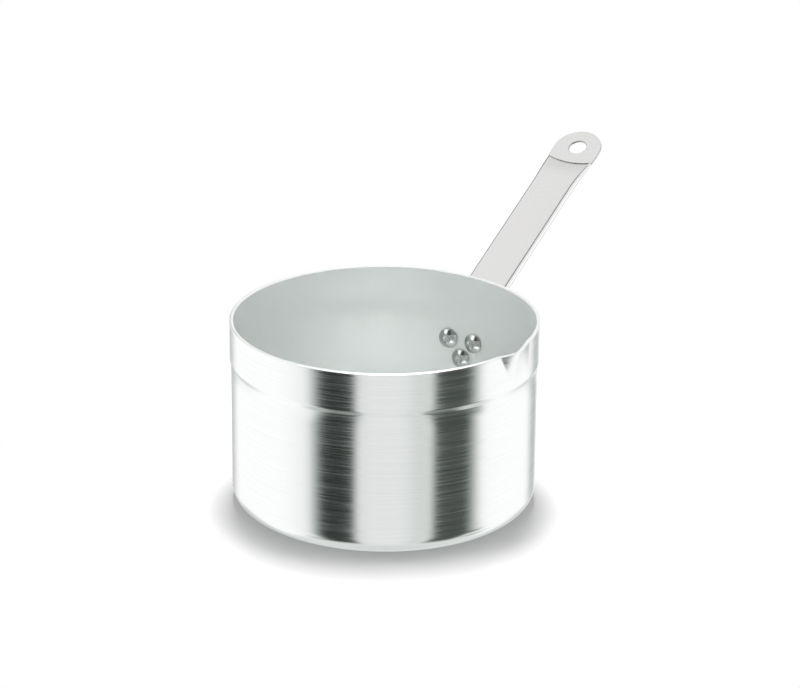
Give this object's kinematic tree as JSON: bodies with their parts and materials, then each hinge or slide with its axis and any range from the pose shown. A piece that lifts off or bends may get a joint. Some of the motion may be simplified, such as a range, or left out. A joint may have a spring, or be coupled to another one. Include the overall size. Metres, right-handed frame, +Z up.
{
  "type": "saucepan",
  "caption": "Round straight-sided aluminium saucepan with a stepped rim band, a pressed pouring lip and a long riveted steel handle with a hanging hole.",
  "frame": {"origin": "middle of the pan's flat base, on the surface that it stands on", "axes": "+Z up along the pan's axis, +X towards the handle, -Y about towards the pouring lip"},
  "size_m": [0.2999, 0.1666, 0.148],
  "materials": {
    "pan": "turned satin outside, matt inside",
    "handle": "satin stainless sheet",
    "rivets": "polished"
  },
  "bodies": {
    "root": {"pan_body": "pan", "handle": "handle", "rivet_upper_left": "rivets", "rivet_upper_right": "rivets", "rivet_lower": "rivets"}
  },
  "joints": []
}
